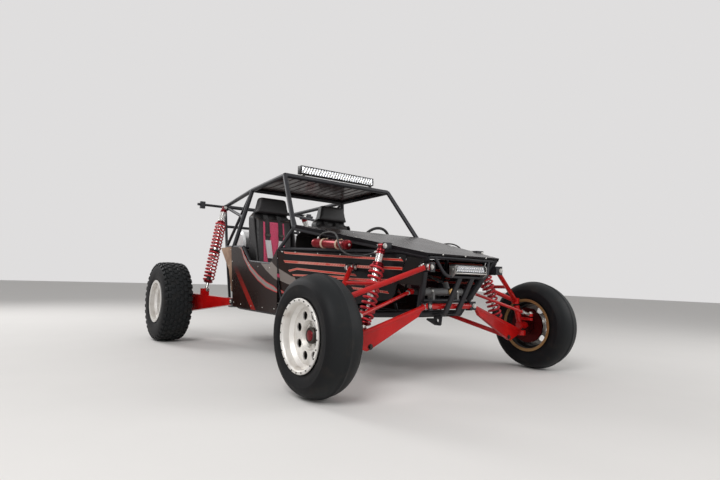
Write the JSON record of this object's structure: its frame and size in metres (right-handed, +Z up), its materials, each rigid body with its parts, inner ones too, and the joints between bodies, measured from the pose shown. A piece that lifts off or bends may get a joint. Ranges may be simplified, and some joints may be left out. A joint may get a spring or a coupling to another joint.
{
  "type": "dune buggy",
  "caption": "Two-seat open dune buggy: tube frame and roll cage, long-travel arms with coil-over shocks, dished wheels, steering that turns the front wheels.",
  "frame": {"origin": "on the ground, midway between the front tyres' front and the rear tyres' back, on the middle of the car", "axes": "+X forward, +Y to the driver's left, +Z up"},
  "size_m": [3.5279, 2.363, 1.648],
  "materials": {
    "frame_black": "satin black powder coat",
    "panel_gloss_black": "gloss black paint",
    "panel_satin_black": "satin black sheet",
    "panel_bronze": "brushed sheet with a warm tone",
    "seat_shell": "matt black shell",
    "seat_fabric": "rose woven cloth",
    "bare_aluminium": "spun, satin",
    "engine_metal": "dark cast",
    "lamp": "clear lens over bright reflectors, black case",
    "red_metal": "gloss red powder coat",
    "spring_red": "gloss red coating",
    "shock_steel": "polished body with red caps",
    "rack_grey": "dull grey casting",
    "hose_black": "braided black",
    "steering_black": "black suede grip",
    "wheel_silver": "cast, silver-white",
    "tyre_rubber": "black rubber, dusty",
    "hub_steel": "machined steel"
  },
  "bodies": {
    "chassis": {"frame_side_right": "frame_black", "frame_side_left": "frame_black", "frame_cross_tubes": "frame_black", "cage_side_right": "frame_black", "cage_side_left": "frame_black", "cage_cross_tubes": "frame_black", "roof_panel": "panel_satin_black", "hood": "panel_gloss_black", "dash_panel": "panel_satin_black", "firewall": "panel_satin_black", "belly_pan": "panel_satin_black", "side_panels": "panel_gloss_black", "entry_panels": "panel_gloss_black", "rear_quarter_panels": "panel_bronze", "seat_right": "seat_shell", "seat_left": "seat_shell", "seat_pad_right": "seat_fabric", "seat_pad_left": "seat_fabric", "fuel_tank": "bare_aluminium", "engine": "engine_metal", "transaxle": "bare_aluminium", "roof_light_bar": "lamp", "nose_light_bar": "lamp", "nose_hoop": "frame_black", "tow_eye": "frame_black", "tail_bar": "frame_black", "steering_rack": "rack_grey", "pedals": "panel_satin_black", "gear_lever": "panel_satin_black", "pivot_brackets": "frame_black", "upper_arms": "red_metal", "lower_arms": "red_metal", "trailing_arms": "red_metal", "front_shocks": "shock_steel", "rear_shocks": "shock_steel", "shock_springs": "spring_red", "reservoirs": "red_metal", "shock_hoses": "hose_black"},
    "knuckle_right": {"knuckle_right": "red_metal"},
    "knuckle_left": {"knuckle_left": "red_metal"},
    "rack": {"tie_rods": "red_metal"},
    "steering_wheel": {"steering_wheel": "steering_black"},
    "wheel_front_right": {"rim_front_right": "wheel_silver", "tyre_front_right": "tyre_rubber", "hub_front_right": "hub_steel"},
    "wheel_rear_right": {"rim_rear_right": "wheel_silver", "tyre_rear_right": "tyre_rubber", "half_shaft_right": "hub_steel"},
    "wheel_front_left": {"rim_front_left": "wheel_silver", "tyre_front_left": "tyre_rubber", "hub_front_left": "hub_steel"},
    "wheel_rear_left": {"rim_rear_left": "wheel_silver", "tyre_rear_left": "tyre_rubber", "half_shaft_left": "hub_steel"}
  },
  "joints": [
    {"name": "steer_right", "type": "hinge", "parent": "chassis", "child": "knuckle_right", "pos_m": [1.42, -0.87, 0.296], "axis": [-0.2204, 0, 0.9754], "range_deg": [-25, 25]},
    {"name": "steer_left", "type": "hinge", "parent": "chassis", "child": "knuckle_left", "pos_m": [1.42, 0.87, 0.296], "axis": [-0.2204, 0, 0.9754], "range_deg": [-25, 25]},
    {"name": "rack_slide", "type": "slide", "parent": "chassis", "child": "rack", "axis": [0, 1, 0], "range_m": [-0.045, 0.045]},
    {"name": "steering_wheel_turn", "type": "hinge", "parent": "chassis", "child": "steering_wheel", "pos_m": [0.179, 0.35, 0.998], "axis": [-0.9063, 0, 0.4226], "range_deg": [-270, 270]},
    {"name": "spin_front_right", "type": "hinge", "parent": "knuckle_right", "child": "wheel_front_right", "pos_m": [1.416, -1.0435, 0.348], "axis": [0, 1, 0], "continuous": true},
    {"name": "spin_rear_right", "type": "hinge", "parent": "chassis", "child": "wheel_rear_right", "pos_m": [-1.374, -1.045, 0.39], "axis": [0, 1, 0], "continuous": true},
    {"name": "spin_front_left", "type": "hinge", "parent": "knuckle_left", "child": "wheel_front_left", "pos_m": [1.416, 1.0435, 0.348], "axis": [0, 1, 0], "continuous": true},
    {"name": "spin_rear_left", "type": "hinge", "parent": "chassis", "child": "wheel_rear_left", "pos_m": [-1.374, 1.045, 0.39], "axis": [0, 1, 0], "continuous": true}
  ],
  "couplings": [
    {"joint": "steer_left", "follows": "steer_right", "ratio": 1},
    {"joint": "rack_slide", "follows": "steer_right", "m_per_rad": 0.102},
    {"joint": "steering_wheel_turn", "follows": "steer_right", "ratio": 10.79}
  ]
}
